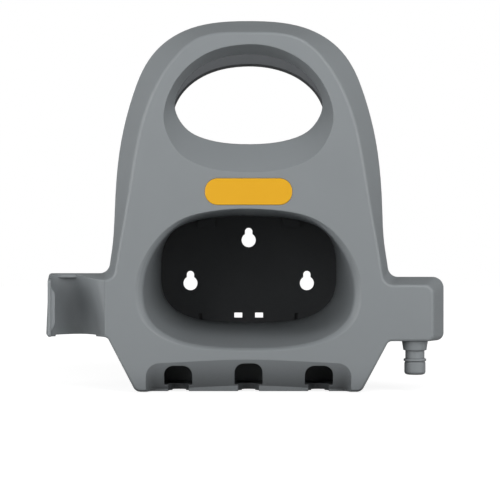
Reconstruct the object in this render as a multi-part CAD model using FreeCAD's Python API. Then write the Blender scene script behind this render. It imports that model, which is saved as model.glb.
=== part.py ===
import FreeCAD, Part
import math
import os

V = FreeCAD.Vector

# Origin on the wall face of the bin, X to the right, Y towards the wall, Z up, all in mm
DEPTH = 168.0
WALL = 2.8
FIT = 0.4
OVER = 1.0
CUT_PAST = 5.0
TINY_ROUND = 0.4

# Front moulding, height of its features above the origin
FLANGE = 30.0
FACE_TOP = 206.4
FACE_HALF = 114.8
SHOULDER = 14.6
FACE_BOTTOM = -110.4
FACE_BOTTOM_HALF = 99.5
FLARE_TOP = 14.0
FLARE_SIDE = 8.0
FLARE_LOW = 0.8
EDGE_ROUND = 2.4
EDGE_BANDS = [(0.0, 0.75), (0.3, 0.2), (1.0, 0.0)]

# Right arm and left arm, outer ends, tops and undersides
RIGHT_END = 162.9
RIGHT_TOP = -16.2
RIGHT_LOW = -65.8
LEFT_END = -177.0
LEFT_TOP = -11.7
LEFT_LOW = -62.2
ARM_FLARE_END = 12.4
ARM_FLARE_TOP = 6.7
CRADLE_FLARE_END = 5.0
CRADLE_FLARE_TOP = 5.5
CRADLE_LEAN = 0.5
RIGHT_ROOT = 119.6
LEFT_ROOT = -119.0
RIGHT_ROOT_LOW = 123.5
LEFT_ROOT_LOW = -124.6
ROOT_FLARE = 6.9
ROOT_ROUND = 9.0
ROOT_LOW_ROUND = 5.0
RIGHT_END_ROUND = 8.0
RIGHT_LOW_ROUND = 5.0
LEFT_END_ROUND = 2.0
FOOT_ROUND = 7.0

# Handle opening, at its front rim and at the back edge of its funnel
WINDOW_HALF = 74.8
WINDOW_TOP = 195.8
WINDOW_LOW = 83.0
FUNNEL_HALF = 66.3
FUNNEL_TOP = 190.6
FUNNEL_LOW = 109.7
WINDOW_SHAPE = [(0.447, 0.058), (0.73, 0.183), (0.9, 0.332), (0.983, 0.475), (1.0, 0.585),
                (0.947, 0.717), (0.8, 0.858), (0.576, 0.943)]

# Storage bin, at its mouth and at its back wall
MOUTH_HALF = 99.7
MOUTH_TOP = 51.0
MOUTH_LOW = -74.4
MOUTH_DEEP = 7.0
MOUTH_BANDS = [(0.0, 0.0), (0.36, 0.2), (0.78, 0.58), (1.0, 1.0)]
BIN_HALF = 93.2
BIN_TOP = 50.0
BIN_LOW = -71.7
BIN_BACK_HALF = 85.7
BIN_BACK_TOP = 48.0
BIN_BACK_LOW = -57.0
BIN_SHAPE = [(0.33, 0.018), (0.61, 0.082), (0.85, 0.25), (0.968, 0.431), (1.0, 0.589),
             (0.944, 0.784), (0.746, 0.915), (0.435, 0.982)]
BIN_BACK_SHAPE = [(0.33, 0.012), (0.6, 0.045), (0.86, 0.14), (0.985, 0.33), (1.0, 0.5),
                  (0.962, 0.75), (0.8, 0.895), (0.5, 0.975)]

# Saddle that carries the coil, over the bin
SADDLE_HALF = 97.0
SADDLE_TOP = 103.0
SADDLE_LOW = -70.0
SADDLE_BACK_HALF = 91.0
SADDLE_BACK_TOP = 100.0
SADDLE_BACK_LOW = -54.5
SADDLE_SHAPE = [(0.5, 0.05), (0.8, 0.17), (0.955, 0.33), (1.0, 0.5), (0.975, 0.7), (0.88, 0.86),
                (0.6, 0.96), (0.3, 0.99)]
RIB = 2.4
RIB_PLACE = 40.0
RIB_BURIED = 20.0

# Docks along the lower edge
SCOOP_TOP = -81.1
SCOOP_DROP = 4.6
SCOOP_HALF = 90.5
SCOOP_DEEP = 13.0
SCOOP_ROUND = 12.0
SCOOP_ROUND_BACK = 4.0
SCOOP_CROWN = 600.0
SCOOP_WALL_FROM = 0.1
LEDGE = 5.4
DOCK_PITCH = 62.3
DOCK_WIDE = 24.8
DOCK_TALL = 19.6
DOCK_SIDE_DROP = 2.1
DOCK_ROUND = 8.5
SLOT_WIDE = 18.4
SLOT_DEEP = 10.0
DOCK_BOX = 60.0

# Gun cradle in the left arm
CRADLE_RIGHT = -126.6
CRADLE_TOP_DEEP = 27.5
CRADLE_LOW_DEEP = 46.0
CRADLE_OPEN = 24.0
LIP_BUMP = 3.6
LIP_BUMP_DEEP = 5.0
LIP_BUMP_BACK = 0.6
LIP_BUMP_ROUND = 8.0
LIP_BUMP_RISE = (0.06, 0.22, 0.76, 0.9)
TROUGH_TOP_SHAPE = [(0.62, 0.5), (0.28, 1.0), (0.06, 0.86)]
TROUGH_LOW_SHAPE = [(0.8, 0.6), (0.45, 1.0), (0.12, 0.8)]

# Parking spigot under the right arm
SPIGOT_X = 148.0
SPIGOT_LONG = 30.2
SPIGOT_R = 9.4
SPIGOT_BORE = 6.0
SPIGOT_FOOT = 2.2
SPIGOT_NECK = 0.9
SPIGOT_RIDGE = 0.6
SPIGOT_GROOVE = 0.5
SPIGOT_FOOT_TALL = 0.6
SPIGOT_COLLAR_END = 0.28
SPIGOT_COLLAR_STEP = 0.4
SPIGOT_RIDGE_TOP = 0.54
SPIGOT_RIDGE_TALL = 1.6
SPIGOT_GROOVE_STEP = 0.6
SPIGOT_GROOVE_TALL = 0.7
SPIGOT_STEP = 0.5
SPIGOT_TIP = 2.2
SPIGOT_TIP_EDGE = 0.7

# Badge
BADGE_Z = 66.0
BADGE_WIDE = 77.4
BADGE_TALL = 23.8
BADGE_THICK = 1.6
BADGE_POCKET = 1.0
BADGE_BEVEL = 0.5

# Wall moulding
FRAME_DEEP = 15.0
FLOOR = 4.0
FRAME_FLARE = 2.0
FRAME_HALF = 118.0
FRAME_LOW = -86.0
FRAME_WAIST = -20.0
FRAME_WAIST_ROUND = 60.0
FRAME_FOOT_IN = 14.0
FRAME_FOOT_ROUND = 30.0
FRAME_WINDOW_LOW = 108.0
FRAME_WINDOW_DRAFT = 1.0
KEY_R = 6.9
KEY_NECK = 7.3
KEY_RISE = 8.4
KEY_SPREAD = 57.1
KEY_LOW = -17.9
KEY_HIGH = 24.3
PEEP_WIDE = 7.8
PEEP_TALL = 4.9
PEEP_X = 10.2
PEEP_Z = -49.2
CLIP_X = 47.1
CLIP_Z = -53.0
CLIP_WIDE = 3.4
CLIP_TALL = 11.3
CLIP_DEEP = 3.0
TONGUE_IN = 33.0
TONGUE_OUT = 50.0
TONGUE_LOW = 37.1
TONGUE_OUT_OF_FLOOR = 6.0
TONGUE_ROOT = 0.5

FRONT = -DEPTH
FLANGE_BACK = FRONT + FLANGE


def at(x, y, z):
    return V(x, y, z)


def ring(half, top, low, shape, y):
    # Closed smooth loop, the same on both sides of the middle
    tall = top - low
    right = [at(f * half, y, top - g * tall) for f, g in shape]
    left = [at(-p.x, y, p.z) for p in reversed(right)]
    curve = Part.BSplineCurve()
    curve.interpolate(Points=[at(0, y, top)] + right + [at(0, y, low)] + left, PeriodicFlag=True)
    return Part.Wire([curve.toShape()])


def corner(before, point, after, radius):
    # Ends and middle of the round that eases a corner
    a = (before - point).normalize()
    b = (after - point).normalize()
    half = a.getAngle(b) / 2
    middle = (a + b).normalize()
    centre = point + middle * (radius / math.sin(half))
    reach = radius / math.tan(half)
    return point + a * reach, centre - middle * radius, point + b * reach


def chain(points):
    # Lines and rounds from the first point to the last, corners are (point, radius)
    edges = []
    start = points[0][0]
    for i in range(1, len(points) - 1):
        p, r = points[i]
        a, m, b = corner(points[i - 1][0], p, points[i + 1][0], r)
        edges.append(Part.makeLine(start, a))
        edges.append(Part.Arc(a, m, b).toShape())
        start = b
    edges.append(Part.makeLine(start, points[-1][0]))
    return edges


def polygon(points, level, flat=False):
    # Closed outline with every corner eased, points are (x, z, radius), or (x, y, radius) when flat
    pts = [(at(a, b, level) if flat else at(a, level, b), r) for a, b, r in points]
    first = (pts[0][0] + pts[-1][0]) * 0.5
    return Part.Wire(chain([(first, 0)] + pts + [(first, 0)]))


def loft(wires, ruled=True):
    return Part.makeLoft(wires, True, ruled)


def prism(wire, vector):
    return Part.Face(wire).extrude(vector)


def box(x0, x1, y0, y1, z0, z1):
    return Part.makeBox(x1 - x0, y1 - y0, z1 - z0, at(x0, y0, z0))


# Arch of the face and of the flared edge behind it, as shares of half width and height
ARCH_FACE = [(0.414, 0.966), (0.594, 0.867), (0.698, 0.771), (0.78, 0.661), (0.878, 0.422), (0.945, 0.18)]
ARCH_FLARE = [(0.471, 0.957), (0.653, 0.885), (0.77, 0.79), (0.834, 0.698), (0.936, 0.462), (0.979, 0.18)]


def arch_points(share):
    # Arch points at a share of the flange depth, 0 at the face and 1 at the back edge
    half = FACE_HALF + share * FLARE_SIDE
    tall = FACE_TOP + share * FLARE_TOP - SHOULDER
    right = []
    for (f0, g0), (f1, g1) in zip(ARCH_FACE, ARCH_FLARE):
        right.append((half * (f0 + share * (f1 - f0)), SHOULDER + tall * (g0 + share * (g1 - g0))))
    right.append((half, SHOULDER))
    left = [(-x, z) for x, z in reversed(right)]
    return left + [(0.0, SHOULDER + tall)] + right


def arm_points(share):
    # Corners from the right shoulder round the arms and the foot to the left shoulder
    side = share * ARM_FLARE_END
    up = share * ARM_FLARE_TOP
    low = share * FLARE_LOW
    left = share * CRADLE_FLARE_END
    rise = share * CRADLE_FLARE_TOP
    root = share * ROOT_FLARE
    return [(RIGHT_ROOT + root, RIGHT_TOP + up, ROOT_ROUND),
            (RIGHT_END + side, RIGHT_TOP + up, RIGHT_END_ROUND + 2 * share),
            (RIGHT_END + side, RIGHT_LOW - low, RIGHT_LOW_ROUND + 2 * share),
            (RIGHT_ROOT_LOW + low, RIGHT_LOW - low, ROOT_LOW_ROUND),
            (FACE_BOTTOM_HALF + low, FACE_BOTTOM - low, FOOT_ROUND),
            (-FACE_BOTTOM_HALF - low, FACE_BOTTOM - low, FOOT_ROUND),
            (LEFT_ROOT_LOW - low, LEFT_LOW - low, ROOT_LOW_ROUND),
            (LEFT_END - left, LEFT_LOW - low, LEFT_END_ROUND + share),
            (LEFT_END - left * CRADLE_LEAN, LEFT_TOP + rise, LEFT_END_ROUND + share),
            (LEFT_ROOT - root, LEFT_TOP + rise, ROOT_ROUND)]


def inset(points, amount):
    # Move every point of a closed clockwise outline inwards by the wall
    out = []
    n = len(points)
    for i in range(n):
        p = V(points[i][0], 0, points[i][1])
        a = V(points[i - 1][0], 0, points[i - 1][1])
        b = V(points[(i + 1) % n][0], 0, points[(i + 1) % n][1])
        u = (p - a).normalize()
        w = (b - p).normalize()
        na = V(u.z, 0, -u.x)
        nb = V(w.z, 0, -w.x)
        m = (na + nb).normalize()
        step = amount / max(0.3, m.dot(na))
        turn = u.x * w.z - u.z * w.x
        out.append((p.x + m.x * step, p.z + m.z * step, turn < 0))
    return out


def shell_section(share, wall):
    # Outline of the front moulding at a share of the flange depth, inset by a wall
    y = FRONT + share * FLANGE
    arch = arch_points(share)
    arms = arm_points(share)
    both = [(x, z) for x, z in arch] + [(x, z) for x, z, r in arms]
    moved = inset(both, wall)
    top = [at(x, y, z) for x, z, convex in moved[:len(arch)]]
    feet = []
    for (x, z, convex), (x0, z0, r) in zip(moved[len(arch):], arms):
        feet.append((at(x, y, z), max(0.5, r - wall) if convex else r + wall))
    curve = Part.BSplineCurve()
    curve.interpolate(Points=top, InitialTangent=(top[0] - feet[-1][0]).normalize(),
                      FinalTangent=(feet[0][0] - top[-1]).normalize())
    return Part.Wire([curve.toShape()] + chain([(top[-1], 0)] + feet + [(top[0], 0)]))


def grown_ring(half, top, low, shape, y, grow):
    return ring(half + grow, top + grow, low - grow, shape, y)


def eased_loft(section, depth):
    # Solid through an outline's sections, its front edge rounded by two narrow bands
    steps = [(y * EDGE_ROUND, back * EDGE_ROUND) for y, back in EDGE_BANDS] + [(depth, 0.0)]
    return loft([section(y / depth, back) for y, back in steps])


# Outer body with its eased front edge, its mid-wall solid, and the hollow behind the face
body = eased_loft(shell_section, FLANGE)
mid_body = loft([shell_section(OVER / FLANGE, WALL / 2), shell_section(1, WALL / 2)])
deep = WALL / FLANGE
hollow = loft([shell_section(deep, WALL), shell_section(1 + deep, WALL)])
shell = body.cut(hollow)

# Funnel round the handle opening
funnel = loft([ring(WINDOW_HALF, WINDOW_TOP, WINDOW_LOW, WINDOW_SHAPE, FRONT),
               ring(FUNNEL_HALF, FUNNEL_TOP, FUNNEL_LOW, WINDOW_SHAPE, FLANGE_BACK)])
funnel_wall = loft([grown_ring(WINDOW_HALF, WINDOW_TOP, WINDOW_LOW, WINDOW_SHAPE, FRONT + OVER, WALL),
                    grown_ring(FUNNEL_HALF, FUNNEL_TOP, FUNNEL_LOW, WINDOW_SHAPE, FLANGE_BACK, WALL)])
shell = shell.fuse(funnel_wall)

# Bin sleeve and the saddle over it, from the face to the floor of the wall moulding
HUB_END = -FLOOR
bin_front = FRONT + MOUTH_DEEP


def bin_wire(y, grow):
    # Bin outline between its mouth end and its back wall, grown by a wall or clearance
    k = (y - bin_front) / (HUB_END - bin_front)
    shape = [(f0 + k * (f1 - f0), g0 + k * (g1 - g0))
             for (f0, g0), (f1, g1) in zip(BIN_SHAPE, BIN_BACK_SHAPE)]
    return ring(BIN_HALF + k * (BIN_BACK_HALF - BIN_HALF) + grow,
                BIN_TOP + k * (BIN_BACK_TOP - BIN_TOP) + grow,
                BIN_LOW + k * (BIN_BACK_LOW - BIN_LOW) - grow, shape, y)


sleeve = loft([grown_ring(MOUTH_HALF, MOUTH_TOP, MOUTH_LOW, BIN_SHAPE, FRONT + OVER, WALL),
               bin_wire(bin_front + WALL, WALL), bin_wire(HUB_END, WALL)])


def saddle(grow, y0, y1):
    # Saddle solid between two depths, grown by an amount
    def wire(y):
        k = (y - FRONT) / (HUB_END - FRONT)
        return grown_ring(SADDLE_HALF + k * (SADDLE_BACK_HALF - SADDLE_HALF),
                          SADDLE_TOP + k * (SADDLE_BACK_TOP - SADDLE_TOP),
                          SADDLE_LOW + k * (SADDLE_BACK_LOW - SADDLE_LOW), SADDLE_SHAPE, y, grow)
    return loft([wire(y0), wire(y1)])


hub = saddle(0, FRONT + OVER, HUB_END).fuse(sleeve)
hub_hollow = saddle(-WALL, FRONT + WALL, HUB_END + OVER).cut(sleeve)
ribs = [box(x - RIB / 2, x + RIB / 2, FRONT + OVER, HUB_END, BIN_TOP - RIB_BURIED, SADDLE_TOP)
        for x in (-RIB_PLACE, RIB_PLACE)]
ribs = [r.common(saddle(-WALL / 2, FRONT + OVER, HUB_END)) for r in ribs]
hub = hub.cut(hub_hollow).fuse(ribs)
shell = shell.fuse(hub)

# Scooped lower edge, ledge and box of the docks
def scoop_wire(share, grow):
    y = FRONT + share * SCOOP_DEEP
    top = SCOOP_TOP + share * (FACE_BOTTOM + LEDGE - SCOOP_TOP) + grow
    half = SCOOP_HALF - SCOOP_ROUND_BACK * share + grow
    low = FACE_BOTTOM - SCOOP_DEEP
    side = SCOOP_ROUND + share * (SCOOP_ROUND_BACK - SCOOP_ROUND)
    return polygon([(-half, low, TINY_ROUND), (-half, top - SCOOP_DROP, side), (0, top, SCOOP_CROWN),
                    (half, top - SCOOP_DROP, side), (half, low, TINY_ROUND)], y)


scoop = loft([scoop_wire(0, 0), scoop_wire(1, 0)])
scoop_wall = loft([scoop_wire(SCOOP_WALL_FROM, WALL), scoop_wire(1, WALL)])
scoop_wall = scoop_wall.common(box(-DEPTH, DEPTH, FRONT, 0, FACE_BOTTOM + LEDGE / 2, SADDLE_LOW))
ledge_front = FRONT + SCOOP_DEEP
ledge_top = FACE_BOTTOM + LEDGE
box_back = FRONT + DOCK_BOX
box_top = BIN_LOW - WALL / 2
dock_box = box(-SCOOP_HALF, SCOOP_HALF, ledge_front, box_back, FACE_BOTTOM, box_top)
dock_room = box(-SCOOP_HALF + WALL, SCOOP_HALF - WALL, FRONT + WALL, box_back - WALL,
                ledge_top, box_top - WALL)
dock_box = dock_box.cut(dock_room).cut(sleeve)
shell = shell.fuse([scoop_wall, dock_box])

docks = []
for x in (-DOCK_PITCH, 0, DOCK_PITCH):
    half = DOCK_WIDE / 2
    crown = ledge_top + DOCK_TALL - DOCK_SIDE_DROP * abs(x) / DOCK_PITCH
    mouth = polygon([(x + half, ledge_top, TINY_ROUND), (x + half, crown, DOCK_ROUND),
                     (x - half, crown, DOCK_ROUND), (x - half, ledge_top, TINY_ROUND)], FRONT - OVER)
    docks.append(prism(mouth, V(0, SCOOP_DEEP + CUT_PAST, 0)))
    centre = ledge_front + SLOT_DEEP
    docks.append(box(x - SLOT_WIDE / 2, x + SLOT_WIDE / 2, FRONT, centre,
                     FACE_BOTTOM - CUT_PAST, ledge_top + OVER))
    docks.append(Part.makeCylinder(SLOT_WIDE / 2, LEDGE + CUT_PAST + OVER,
                                   at(x, centre, FACE_BOTTOM - CUT_PAST)))

# Mouth of the bin, eased from the face into the sleeve, and the bin itself
def mouth_wire(k, d):
    # Section at a share of the way in from the rim, and at a share of the mouth's depth
    return ring(MOUTH_HALF + k * (BIN_HALF - MOUTH_HALF), MOUTH_TOP + k * (BIN_TOP - MOUTH_TOP),
                MOUTH_LOW + k * (BIN_LOW - MOUTH_LOW), BIN_SHAPE, FRONT + d * MOUTH_DEEP)


mouth = loft([mouth_wire(k, d) for k, d in MOUTH_BANDS])
room = loft([bin_wire(bin_front, 0), bin_wire(HUB_END, 0)])

# Gun cradle: trough with a lip at its outer side, deeper towards its open foot
lip_in = LEFT_END + WALL
span = CRADLE_RIGHT - lip_in
ceiling = LEFT_TOP + CRADLE_FLARE_TOP * CRADLE_OPEN / FLANGE - WALL


def trough_wire(grow, z):
    # Section of the trough at a height, grown by a wall, shape points are shares of span and depth
    k = (ceiling - z) / (ceiling - LEFT_LOW)
    deep = CRADLE_TOP_DEEP + k * (CRADLE_LOW_DEEP - CRADLE_TOP_DEEP)
    shape = [(f0 + k * (f1 - f0), g0 + k * (g1 - g0))
             for (f0, g0), (f1, g1) in zip(TROUGH_TOP_SHAPE, TROUGH_LOW_SHAPE)]
    (f1, g1), (f2, g2), (f3, g3) = shape
    pts = [at(CRADLE_RIGHT + grow, FRONT - OVER, z), at(CRADLE_RIGHT + grow, FRONT + OVER, z),
           at(lip_in + f1 * span + grow / 2, FRONT + g1 * deep + grow, z),
           at(lip_in + f2 * span, FRONT + g2 * deep + grow, z),
           at(lip_in + f3 * span - grow, FRONT + g3 * deep, z),
           at(lip_in - grow, FRONT + OVER, z), at(lip_in - grow, FRONT - OVER, z)]
    curve = Part.BSplineCurve()
    curve.interpolate(Points=pts[1:-1])
    edges = [Part.makeLine(pts[0], pts[1]), curve.toShape(), Part.makeLine(pts[-2], pts[-1]),
             Part.makeLine(pts[-1], pts[0])]
    return Part.Wire(edges)


def trough_solid(grow, z0, z1):
    return loft([trough_wire(grow, z0), trough_wire(grow, z1)])


below = LEFT_LOW - 2 * WALL
above = LEFT_TOP + CRADLE_FLARE_TOP + WALL
roof = box(lip_in - WALL, CRADLE_RIGHT, FRONT + CRADLE_OPEN, FRONT + 2 * CRADLE_OPEN, ceiling, above + OVER)
trough = trough_solid(0, below, above).cut(roof)
back_wire = shell_section(1, WALL / 2)
trough_limit = mid_body.fuse(prism(back_wire, V(0, CRADLE_LOW_DEEP - FLANGE + 2 * WALL, 0)))
trough_wall = trough_solid(WALL, below, above).common(trough_limit)

# Bump on the inner side of the lip, which the gun snaps behind
crest = lip_in + LIP_BUMP
rise = [LEFT_LOW + f * (LEFT_TOP - LEFT_LOW) for f in LIP_BUMP_RISE]
bump = polygon([(lip_in - OVER, rise[0], TINY_ROUND), (crest, rise[1], LIP_BUMP_ROUND),
                (crest, rise[2], LIP_BUMP_ROUND), (lip_in - OVER, rise[3], TINY_ROUND)],
               FRONT + LIP_BUMP_BACK)
bump = prism(bump, V(0, LIP_BUMP_DEEP, 0))
shell = shell.fuse(trough_wall)

# Parking spigot under the right arm, cored from below
spigot_y = FRONT + FLANGE / 2
top = RIGHT_LOW + WALL / 2
end = RIGHT_LOW - SPIGOT_LONG
R = SPIGOT_R


def turned(profile):
    # Solid of revolution about the spigot axis, profile points are (radius, height)
    pts = [at(SPIGOT_X + r, spigot_y, z) for r, z in profile]
    wire = Part.makePolygon(pts + [pts[0]])
    return Part.Face(wire).revolve(at(SPIGOT_X, spigot_y, 0), V(0, 0, 1), 360)


collar = RIGHT_LOW - SPIGOT_COLLAR_END * SPIGOT_LONG
neck = RIGHT_LOW - SPIGOT_RIDGE_TOP * SPIGOT_LONG
ridge_low = neck - SPIGOT_RIDGE_TALL
groove_top = ridge_low - SPIGOT_GROOVE_STEP
groove_low = groove_top - SPIGOT_GROOVE_TALL
foot, thin, ridge, groove = R + SPIGOT_FOOT, R - SPIGOT_NECK, R + SPIGOT_RIDGE, R - SPIGOT_GROOVE
spigot = turned([(0, top), (foot, top), (foot, RIGHT_LOW - SPIGOT_FOOT_TALL), (R + SPIGOT_NECK, collar),
                 (thin, collar - SPIGOT_COLLAR_STEP), (thin, neck + SPIGOT_STEP), (ridge, neck),
                 (ridge, ridge_low), (groove, groove_top), (groove, groove_low),
                 (R, groove_low - SPIGOT_STEP), (R, end + SPIGOT_TIP),
                 (R - SPIGOT_TIP_EDGE, end + SPIGOT_TIP_EDGE), (R - SPIGOT_TIP, end), (0, end)])
core = Part.makeCylinder(SPIGOT_BORE, SPIGOT_LONG - WALL, at(SPIGOT_X, spigot_y, end - OVER))

# Pocket for the badge
def badge_wire(y, less):
    half, tall = BADGE_WIDE / 2 - less, BADGE_TALL / 2 - less
    r = tall - TINY_ROUND
    return polygon([(half, BADGE_Z + tall, r), (half, BADGE_Z - tall, r),
                    (-half, BADGE_Z - tall, r), (-half, BADGE_Z + tall, r)], y)


pocket = prism(badge_wire(FRONT - OVER, 0), V(0, BADGE_POCKET + OVER, 0))

front_shell = shell.cut([funnel, scoop, mouth, room, trough, pocket] + docks)
front_shell = front_shell.fuse(bump).fuse(spigot).cut(core)

# Badge, stands a little proud of the face, its front edge bevelled
badge_front = FRONT + BADGE_POCKET - BADGE_THICK
badge = loft([badge_wire(FRONT + BADGE_POCKET, FIT / 2), badge_wire(badge_front + BADGE_BEVEL, FIT / 2),
              badge_wire(badge_front, FIT / 2 + BADGE_BEVEL)])

# Wall moulding: tray open to the wall, with the second arch
SKIN = -FRAME_DEEP


def frame_section(share, wall):
    # Outline at a share of the frame depth, 0 at the skin and 1 at the wall
    y = SKIN + share * FRAME_DEEP
    flare = share * FRAME_FLARE
    arch = [(x * (1 + flare / FACE_HALF), z + flare) for x, z in arch_points(0)]
    side = FRAME_HALF + flare
    low = FRAME_LOW - flare
    foot = [(side, FRAME_WAIST, FRAME_WAIST_ROUND), (side - FRAME_FOOT_IN, low, FRAME_FOOT_ROUND),
            (FRAME_FOOT_IN - side, low, FRAME_FOOT_ROUND), (-side, FRAME_WAIST, FRAME_WAIST_ROUND)]
    moved = inset([(x, z) for x, z in arch] + [(x, z) for x, z, r in foot], wall)
    top = [at(x, y, z) for x, z, convex in moved[:len(arch)]]
    feet = [(at(x, y, z), r - wall) for (x, z, convex), (x0, z0, r) in zip(moved[len(arch):], foot)]
    curve = Part.BSplineCurve()
    curve.interpolate(Points=top, InitialTangent=(top[0] - feet[-1][0]).normalize(),
                      FinalTangent=(feet[0][0] - top[-1]).normalize())
    return Part.Wire([curve.toShape()] + chain([(top[-1], 0)] + feet + [(top[0], 0)]))


tray = eased_loft(frame_section, FRAME_DEEP)
share = WALL / FRAME_DEEP
tray = tray.cut(loft([frame_section(share, WALL), frame_section(1 + share, WALL)]))
rear_window = loft([ring(WINDOW_HALF, WINDOW_TOP, FRAME_WINDOW_LOW, WINDOW_SHAPE, SKIN - OVER),
                    grown_ring(WINDOW_HALF, WINDOW_TOP, FRAME_WINDOW_LOW, WINDOW_SHAPE, OVER,
                               -FRAME_WINDOW_DRAFT)])
rear_rim = loft([grown_ring(WINDOW_HALF, WINDOW_TOP, FRAME_WINDOW_LOW, WINDOW_SHAPE, SKIN + OVER / 2, WALL),
                 grown_ring(WINDOW_HALF, WINDOW_TOP, FRAME_WINDOW_LOW, WINDOW_SHAPE, 0,
                            WALL - FRAME_WINDOW_DRAFT)])


def hub_plug(grow, y0, y1):
    # Outer form of the hub between two depths near the wall, grown by a clearance
    return saddle(grow, y0, y1).fuse(loft([bin_wire(y0, WALL + grow), bin_wire(y1, WALL + grow)]))


socket = hub_plug(FIT + WALL, SKIN, 0)
seat = hub_plug(FIT, SKIN - OVER, HUB_END)
wall_frame = tray.fuse([rear_rim, socket]).cut([rear_window, seat])


def keyhole(x, z):
    hole = Part.makeCylinder(KEY_R, FLOOR + 2 * OVER, at(x, OVER, z), V(0, -1, 0))
    neck = box(x - KEY_NECK / 2, x + KEY_NECK / 2, -FLOOR - OVER, OVER, z, z + KEY_RISE)
    top = Part.makeCylinder(KEY_NECK / 2, FLOOR + 2 * OVER, at(x, OVER, z + KEY_RISE), V(0, -1, 0))
    return [hole, neck, top]


cuts = keyhole(-KEY_SPREAD, KEY_LOW) + keyhole(KEY_SPREAD, KEY_LOW) + keyhole(0, KEY_HIGH)
cuts += [box(s * CLIP_X - CLIP_WIDE / 2, s * CLIP_X + CLIP_WIDE / 2, -FLOOR - OVER, -FLOOR + CLIP_DEEP,
             CLIP_Z - CLIP_TALL / 2, CLIP_Z + CLIP_TALL / 2) for s in (-1, 1)]
cuts += [box(s * PEEP_X - PEEP_WIDE / 2, s * PEEP_X + PEEP_WIDE / 2, -FLOOR - OVER, OVER,
             PEEP_Z - PEEP_TALL / 2, PEEP_Z + PEEP_TALL / 2) for s in (-1, 1)]
tongue_front = HUB_END - TONGUE_OUT_OF_FLOOR
tongue_back = HUB_END + TONGUE_ROOT
tongue_room = prism(bin_wire(tongue_front, -FIT), V(0, tongue_back - tongue_front, 0))
tongues = [box(x, x + TONGUE_OUT - TONGUE_IN, tongue_front, tongue_back, TONGUE_LOW, BIN_BACK_TOP)
           for x in (-TONGUE_OUT, TONGUE_IN)]
tongues = [t.common(tongue_room) for t in tongues]
wall_frame = wall_frame.fuse(tongues).cut(cuts)

os.makedirs("parts", exist_ok=True)
for name, shape in (("front_shell", front_shell), ("wall_frame", wall_frame), ("badge", badge)):
    shape.exportStep("parts/" + name + ".step")
    print(name, shape.isValid(), len(shape.Solids), round(shape.Volume))
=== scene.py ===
import math

import bmesh
import bpy
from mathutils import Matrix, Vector


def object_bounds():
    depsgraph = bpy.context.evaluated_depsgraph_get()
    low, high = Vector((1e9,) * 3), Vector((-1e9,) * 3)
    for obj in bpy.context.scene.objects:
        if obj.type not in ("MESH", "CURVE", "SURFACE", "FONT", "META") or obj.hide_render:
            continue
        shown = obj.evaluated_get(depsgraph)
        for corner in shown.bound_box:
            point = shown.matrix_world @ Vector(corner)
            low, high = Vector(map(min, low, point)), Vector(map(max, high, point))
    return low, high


bl_info = {
    "name": "Hose hanger",
    "version": (1, 0, 0),
    "blender": (4, 5, 0),
    "location": "View3D > Sidebar > Hanger",
    "description": "Finishes, studio and camera for a wall hung hose hanger",
    "category": "Object",
}

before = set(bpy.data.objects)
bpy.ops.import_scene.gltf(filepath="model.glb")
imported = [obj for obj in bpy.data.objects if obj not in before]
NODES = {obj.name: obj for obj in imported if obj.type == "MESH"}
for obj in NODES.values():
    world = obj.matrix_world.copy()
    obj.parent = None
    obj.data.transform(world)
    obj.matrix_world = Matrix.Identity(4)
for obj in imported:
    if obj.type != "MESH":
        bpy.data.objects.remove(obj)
CAD_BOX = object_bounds()
MM = 0.001

# Colour drift: width of a patch, and how dark and how light it gets against the plain colour
FLOW_WIDTH = 70 * MM
FLOW_TONES = (0.955, 1.035)
LACQUER_WIDTH = 16 * MM
LACQUER_TONES = (0.97, 1.03)

# Roughness of the mouldings, how far the grain moves it, and how deep grain and lacquer ripple are
SHELL_ROUGHNESS = 0.42
FRAME_ROUGHNESS = 0.52
GRAIN_ROUGHNESS = 0.05
RELIEF = 0.05 * MM

# Painted recess shade, darkening the colour where ambient occlusion finds a recess: openness at which it is
# full and at which it ends, the share of the colour that full painted shade leaves, and how many times wider
# it reaches on the wall moulding, which lies deep in the bin
PAINTED_SHADE_FULL = 0.25
PAINTED_SHADE_END = 0.78
PAINTED_SHADE_LEAVES = 0.3
FRAME_PAINTED_SHADE_SPAN = 3

# Floor: half its width, its drop below the hanger, and the span in which it goes from nearly white to
# white for the eye
FLOOR_HALF = 4.0
FLOOR_DROP = 0.2 * MM
FLOOR_NEAR = 0.25
FLOOR_FAR = 0.9
FLOOR_NEAR_WHITE = 0.84

# Softboxes: the point they face, then name, its power in the studio settings, turn and rise in degrees.
# They stand wide of the bin, so that its back stays in the dark, with the left side the stronger
LIGHT_AIM = Vector((0, -0.15, 0.03))
SOFTBOXES = (
    ("softbox_top", "top_light", 25, 45),
    ("softbox_key_left", "left_key", -35, 15),
    ("softbox_key_right", "right_key", 43, 13),
    ("softbox_side_left", "left_side", -80, 10),
    ("softbox_side_right", "right_side", 80, 10),
)

# How far towards the back the backdrop reaches its full light, from 0 at the sides to 1 straight behind
ROOM_FULL = 0.8

# Camera's film width in millimetres, and how far it sees in metres
FILM_WIDTH = 36
CAMERA_SEES = 50


def linear(hex_colour):
    # sRGB hex such as 8b8f92 to linear red, green, blue and alpha
    out = []
    for i in (0, 2, 4):
        c = int(hex_colour[i:i + 2], 16) / 255
        out.append(c / 12.92 if c <= 0.04045 else ((c + 0.055) / 1.055) ** 2.4)
    return (out[0], out[1], out[2], 1.0)


def cleared(data):
    # Empty node tree of a new material or world
    data.use_nodes = True
    data.node_tree.nodes.clear()
    return data.node_tree


def add_node(tree, kind, settings=None, values=None, links=None):
    # New node with its settings, its input values and what is linked to its inputs
    node = tree.nodes.new(kind)
    for name, value in (settings or {}).items():
        setattr(node, name, value)
    for name, value in (values or {}).items():
        node.inputs[name].default_value = value
    for name, source in (links or {}).items():
        tree.links.new(source, node.inputs[name])
    return node


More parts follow.
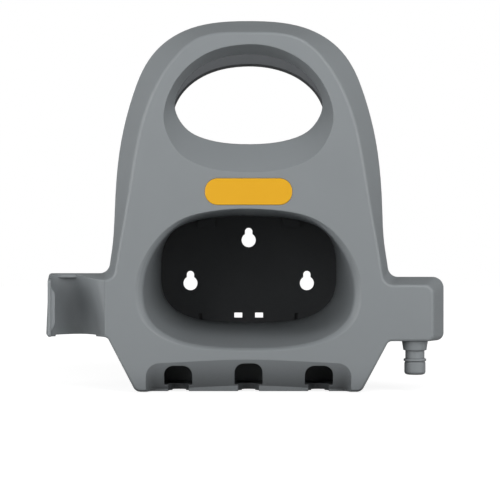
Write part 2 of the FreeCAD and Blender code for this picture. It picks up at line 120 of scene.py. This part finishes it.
def drift(tree, colour, tones, noise):
    # Colour that drifts between a darker and a lighter tone with a noise
    dark, light = (tuple(min(1.0, tone * c) for c in colour[:3]) + (1.0,) for tone in tones)
    tint = add_node(tree, "ShaderNodeMix", {"data_type": "RGBA"}, {6: dark, 7: light},
                    {"Factor": noise.outputs["Fac"]})
    return tint.outputs[2]


class HangerFinish(bpy.types.PropertyGroup):
    shell_colour: bpy.props.FloatVectorProperty(
        name="Shell colour", description="Mid grey of the front moulding", subtype="COLOR",
        size=4, min=0, max=1, default=linear("93989b"))
    # Wall moulding's grey, set darker than the front moulding's as painted shade that darkens the bin's back
    frame_colour_with_painted_shade: bpy.props.FloatVectorProperty(
        name="Frame colour", description="Darker grey of the wall moulding", subtype="COLOR",
        size=4, min=0, max=1, default=linear("5a5d60"))
    badge_colour: bpy.props.FloatVectorProperty(
        name="Badge colour", description="Amber of the badge", subtype="COLOR",
        size=4, min=0, max=1, default=linear("ffbe2c"))
    grain: bpy.props.FloatProperty(
        name="Grain", description="Spacing of the moulded surface grain", unit="LENGTH",
        default=1.1 * MM, min=0.1 * MM, max=5 * MM)
    edge_round: bpy.props.FloatProperty(
        name="Edge round", description="Radius that the front moulding's edges catch light over",
        unit="LENGTH", default=1.2 * MM, min=0, max=3 * MM)
    # Reach of the painted shade that darkens the front moulding's recesses
    painted_shade_reach: bpy.props.FloatProperty(
        name="Recess reach", description="Span across which a recess of the front moulding looks shaded",
        unit="LENGTH", default=40 * MM, min=1 * MM, max=200 * MM)


class HangerStudio(bpy.types.PropertyGroup):
    camera_distance: bpy.props.FloatProperty(
        name="Camera distance", description="From the front face to the camera",
        unit="LENGTH", default=1.45, min=0.5, max=5)
    camera_lens: bpy.props.FloatProperty(
        name="Lens", description="Focal length in millimetres on a 36 mm wide film",
        default=118.6, min=20, max=300)
    camera_x: bpy.props.FloatProperty(
        name="Camera right", description="Camera's place to the right of the middle plane",
        unit="LENGTH", default=1.3 * MM)
    camera_z: bpy.props.FloatProperty(
        name="Camera height", description="Camera's height above the origin",
        unit="LENGTH", default=14.6 * MM)
    light_reach: bpy.props.FloatProperty(
        name="Light reach", description="From the hanger to each softbox",
        unit="LENGTH", default=1.5, min=0.5, max=5)
    softbox_size: bpy.props.FloatProperty(
        name="Softbox", description="Width and height of each softbox",
        unit="LENGTH", default=0.9, min=0.1, max=3)
    top_light: bpy.props.FloatProperty(
        name="Top light", description="Power of the softbox overhead",
        unit="POWER", default=7.3, min=0)
    left_key: bpy.props.FloatProperty(
        name="Left key", description="Power of the softbox in front on the left",
        unit="POWER", default=7.5, min=0)
    right_key: bpy.props.FloatProperty(
        name="Right key", description="Power of the softbox in front on the right",
        unit="POWER", default=6.3, min=0)
    left_side: bpy.props.FloatProperty(
        name="Left side", description="Power of the softbox beside the left arm",
        unit="POWER", default=7.2, min=0)
    right_side: bpy.props.FloatProperty(
        name="Right side", description="Power of the softbox beside the right arm",
        unit="POWER", default=2.9, min=0)
    room_light: bpy.props.FloatProperty(
        name="Room light", description="How much light the backdrop casts on the hanger's back",
        default=0.65, min=0, max=1)
    room_gleam: bpy.props.FloatProperty(
        name="Room gleam", description="How bright the backdrop is in reflections",
        default=0.06, min=0, max=1)


def moulded_polypropylene(name, colour, grain, edge_round, roughness, painted_shade_reach):
    # Injection moulded polypropylene from a spark eroded tool: satin, even in colour, with a fine pebble
    # grain, and with painted shade darkening its recesses. The grain of a real tool is about 0.2 mm, drawn
    # coarser here so that it shows at all
    mat = bpy.data.materials.new(name)
    tree = cleared(mat)
    place = add_node(tree, "ShaderNodeTexCoord")
    pebble = add_node(tree, "ShaderNodeTexNoise",
                      values={"Scale": 1 / grain, "Detail": 3.0, "Roughness": 0.6},
                      links={"Vector": place.outputs["Object"]})
    flow = add_node(tree, "ShaderNodeTexNoise",
                    values={"Scale": 1 / FLOW_WIDTH, "Detail": 4.0, "Roughness": 0.55},
                    links={"Vector": place.outputs["Object"]})
    # Painted shade: the colour is darkened where ambient occlusion finds a recess, so the docks, the trough
    # and the foot of the spigot read darker
    recess = add_node(tree, "ShaderNodeAmbientOcclusion", {"samples": 8}, {"Distance": painted_shade_reach})
    shade = add_node(tree, "ShaderNodeMapRange",
                     values={"From Min": PAINTED_SHADE_FULL, "From Max": PAINTED_SHADE_END, "To Min": PAINTED_SHADE_LEAVES,
                             "To Max": 1.0},
                     links={"Value": recess.outputs["AO"]})
    # Base colour times the painted shade
    shaded = add_node(tree, "ShaderNodeVectorMath", {"operation": "SCALE"},
                      links={0: drift(tree, colour, FLOW_TONES, flow), "Scale": shade.outputs["Result"]})
    gloss = add_node(tree, "ShaderNodeMapRange",
                     values={"From Min": 0.3, "From Max": 0.7, "To Min": roughness - GRAIN_ROUGHNESS,
                             "To Max": roughness + GRAIN_ROUGHNESS},
                     links={"Value": pebble.outputs["Fac"]})
    rounded = add_node(tree, "ShaderNodeBevel", {"samples": 6}, {"Radius": edge_round})
    bump = add_node(tree, "ShaderNodeBump", values={"Strength": 0.35, "Distance": RELIEF},
                    links={"Height": pebble.outputs["Fac"], "Normal": rounded.outputs["Normal"]})
    skin = add_node(tree, "ShaderNodeBsdfPrincipled", values={"IOR": 1.49},
                    links={"Base Color": shaded.outputs["Vector"], "Roughness": gloss.outputs["Result"],
                           "Normal": bump.outputs["Normal"]})
    add_node(tree, "ShaderNodeOutputMaterial", links={"Surface": skin.outputs["BSDF"]})
    return mat


def lacquered_polystyrene(name, colour):
    # Gloss polystyrene printed and lacquered: smooth, with a clear reflection along its bevel
    mat = bpy.data.materials.new(name)
    tree = cleared(mat)
    place = add_node(tree, "ShaderNodeTexCoord")
    cloud = add_node(tree, "ShaderNodeTexNoise", values={"Scale": 1 / LACQUER_WIDTH, "Detail": 3.0},
                     links={"Vector": place.outputs["Object"]})
    ripple = add_node(tree, "ShaderNodeBump", values={"Strength": 0.1, "Distance": RELIEF},
                      links={"Height": cloud.outputs["Fac"]})
    skin = add_node(tree, "ShaderNodeBsdfPrincipled",
                    values={"IOR": 1.55, "Roughness": 0.28, "Coat Weight": 0.4, "Coat Roughness": 0.12},
                    links={"Base Color": drift(tree, colour, LACQUER_TONES, cloud),
                           "Normal": ripple.outputs["Normal"]})
    add_node(tree, "ShaderNodeOutputMaterial", links={"Surface": skin.outputs["BSDF"]})
    return mat


def white_floor_paint(name):
    # Matt grey paint on board, lifted to white for the eye, so only the soft contact shadow shows
    mat = bpy.data.materials.new(name)
    tree = cleared(mat)
    paint = add_node(tree, "ShaderNodeBsdfDiffuse", values={"Color": linear("aaaaaa")})
    ray = add_node(tree, "ShaderNodeLightPath")
    place = add_node(tree, "ShaderNodeTexCoord")
    away = add_node(tree, "ShaderNodeVectorMath", {"operation": "LENGTH"}, links={0: place.outputs["Object"]})
    level = add_node(tree, "ShaderNodeMapRange",
                     values={"From Min": FLOOR_NEAR, "From Max": FLOOR_FAR, "To Min": FLOOR_NEAR_WHITE,
                             "To Max": 1.0},
                     links={"Value": away.outputs["Value"]})
    seen = add_node(tree, "ShaderNodeMath", {"operation": "MULTIPLY"},
                    links={0: level.outputs["Result"], 1: ray.outputs["Is Camera Ray"]})
    glow = add_node(tree, "ShaderNodeEmission", values={"Color": (1, 1, 1, 1)},
                    links={"Strength": seen.outputs["Value"]})
    both = add_node(tree, "ShaderNodeAddShader",
                    links={0: paint.outputs["BSDF"], 1: glow.outputs["Emission"]})
    add_node(tree, "ShaderNodeOutputMaterial", links={"Surface": both.outputs["Shader"]})
    return mat


def give(node_name, material):
    # One material for a whole CAD node
    mesh = NODES[node_name].data
    mesh.materials.clear()
    mesh.materials.append(material)
    for polygon in mesh.polygons:
        polygon.material_index = 0


class HANGER_OT_front_moulding(bpy.types.Operator):
    """Finish of the front moulding: satin grey polypropylene"""
    bl_idname = "hanger.front_moulding"
    bl_label = "Front moulding"

    def execute(self, context):
        finish = context.scene.hanger_finish
        give("front_shell", moulded_polypropylene(
            "polypropylene_front_moulded", finish.shell_colour, finish.grain, finish.edge_round,
            SHELL_ROUGHNESS, finish.painted_shade_reach))
        return {"FINISHED"}


class HANGER_OT_wall_moulding(bpy.types.Operator):
    """Finish of the wall moulding: the same plastic, a little duller, set darker as painted shade for the
    bin's back, and with painted recess shade that reaches wider because it lies deep in the bin
    """
    bl_idname = "hanger.wall_moulding"
    bl_label = "Wall moulding"

    def execute(self, context):
        finish = context.scene.hanger_finish
        give("wall_frame", moulded_polypropylene(
            "polypropylene_wall_moulded", finish.frame_colour_with_painted_shade, finish.grain, finish.edge_round / 2,
            FRAME_ROUGHNESS, FRAME_PAINTED_SHADE_SPAN * finish.painted_shade_reach))
        return {"FINISHED"}


class HANGER_OT_badge(bpy.types.Operator):
    """Finish of the badge: glossy amber inlay, left blank"""
    bl_idname = "hanger.badge"
    bl_label = "Badge"

    def execute(self, context):
        finish = context.scene.hanger_finish
        give("badge", lacquered_polystyrene("polystyrene_badge_lacquered", finish.badge_colour))
        return {"FINISHED"}


def lay_floor(scene, level):
    # Floor that is white to the eye but takes the hanger's shadow
    grid = bmesh.new()
    bmesh.ops.create_grid(grid, x_segments=8, y_segments=8, size=FLOOR_HALF)
    mesh = bpy.data.meshes.new("studio_floor")
    grid.to_mesh(mesh)
    grid.free()
    floor = bpy.data.objects.new("studio_floor", mesh)
    floor.location = (0, 0, level)
    scene.collection.objects.link(floor)
    mesh.materials.append(white_floor_paint("floor_white_matt_paint"))


def hang_softbox(scene, name, front, turn, rise, reach, size, power):
    # Square lamp on a sphere about the front face, turned from straight ahead and raised
    place = Vector((reach * math.cos(rise) * math.sin(turn), front - reach * math.cos(rise) * math.cos(turn),
                    LIGHT_AIM.z + reach * math.sin(rise)))
    lamp = bpy.data.lights.new(name, "AREA")
    lamp.shape = "SQUARE"
    lamp.size = size
    lamp.energy = power
    softbox = bpy.data.objects.new(name, lamp)
    softbox.location = place
    softbox.rotation_euler = (LIGHT_AIM - place).to_track_quat("-Z", "Y").to_euler()
    scene.collection.objects.link(softbox)


def light_room(scene, light, gleam):
    # Backdrop that is white to the eye, soft on the hanger's back, faint in reflections and dark on the
    # camera's side
    world = bpy.data.worlds.new("studio_room")
    scene.world = world
    tree = cleared(world)
    ray = add_node(tree, "ShaderNodeLightPath")
    place = add_node(tree, "ShaderNodeTexCoord")
    split = add_node(tree, "ShaderNodeSeparateXYZ", links={"Vector": place.outputs["Generated"]})
    back = add_node(tree, "ShaderNodeMapRange",
                    values={"From Min": 0.0, "From Max": ROOM_FULL, "To Min": 0.0, "To Max": 1.0},
                    links={"Value": split.outputs["Y"]})
    share = add_node(tree, "ShaderNodeMix", {"data_type": "FLOAT"}, {2: light, 3: gleam},
                     {"Factor": ray.outputs["Is Glossy Ray"]})
    cast = add_node(tree, "ShaderNodeMath", {"operation": "MULTIPLY"},
                    links={0: share.outputs[0], 1: back.outputs["Result"]})
    clear = add_node(tree, "ShaderNodeMath", {"operation": "MAXIMUM"},
                     links={0: cast.outputs["Value"], 1: ray.outputs["Is Transmission Ray"]})
    seen = add_node(tree, "ShaderNodeMath", {"operation": "MAXIMUM"},
                    links={0: ray.outputs["Is Camera Ray"], 1: clear.outputs["Value"]})
    sky = add_node(tree, "ShaderNodeBackground", values={"Color": (1, 1, 1, 1)},
                   links={"Strength": seen.outputs["Value"]})
    add_node(tree, "ShaderNodeOutputWorld", links={"Surface": sky.outputs["Background"]})


def set_camera(scene, place, focal_length):
    # Camera that looks straight at the wall
    lens = bpy.data.cameras.new("camera_front")
    lens.sensor_width = FILM_WIDTH
    lens.lens = focal_length
    lens.clip_end = CAMERA_SEES
    camera = bpy.data.objects.new("camera_front", lens)
    camera.location = place
    camera.rotation_euler = (math.radians(90), 0, 0)
    scene.collection.objects.link(camera)
    scene.camera = camera


class HANGER_OT_stage(bpy.types.Operator):
    """Pale floor, softboxes, room light and camera"""
    bl_idname = "hanger.stage"
    bl_label = "Stage"

    def execute(self, context):
        scene = context.scene
        studio = scene.hanger_studio
        front, bottom = CAD_BOX[0][1], CAD_BOX[0][2]
        lay_floor(scene, bottom - FLOOR_DROP)
        for name, power, turn, rise in SOFTBOXES:
            hang_softbox(scene, name, front, math.radians(turn), math.radians(rise), studio.light_reach,
                         studio.softbox_size, getattr(studio, power))
        light_room(scene, studio.room_light, studio.room_gleam)
        set_camera(scene, (studio.camera_x, front - studio.camera_distance, studio.camera_z),
                   studio.camera_lens)
        scene.view_settings.view_transform = "Standard"
        return {"FINISHED"}


class HANGER_PT_panel(bpy.types.Panel):
    bl_idname = "HANGER_PT_panel"
    bl_label = "Hose hanger"
    bl_space_type = "VIEW_3D"
    bl_region_type = "UI"
    bl_category = "Hanger"

    def draw(self, context):
        column = self.layout.column()
        for group in (context.scene.hanger_finish, context.scene.hanger_studio):
            for name in group.__annotations__:
                column.prop(group, name)
        for operator in OPERATORS:
            column.operator(operator.bl_idname)


OPERATORS = (HANGER_OT_front_moulding, HANGER_OT_wall_moulding, HANGER_OT_badge, HANGER_OT_stage)
CLASSES = (HangerFinish, HangerStudio) + OPERATORS + (HANGER_PT_panel,)


def register():
    for cls in CLASSES:
        bpy.utils.register_class(cls)
    bpy.types.Scene.hanger_finish = bpy.props.PointerProperty(type=HangerFinish)
    bpy.types.Scene.hanger_studio = bpy.props.PointerProperty(type=HangerStudio)


def unregister():
    del bpy.types.Scene.hanger_finish
    del bpy.types.Scene.hanger_studio
    for cls in reversed(CLASSES):
        bpy.utils.unregister_class(cls)


def main():
    register()
    bpy.ops.hanger.front_moulding()
    bpy.ops.hanger.wall_moulding()
    bpy.ops.hanger.badge()
    bpy.ops.hanger.stage()


if __name__ == "__main__":
    main()
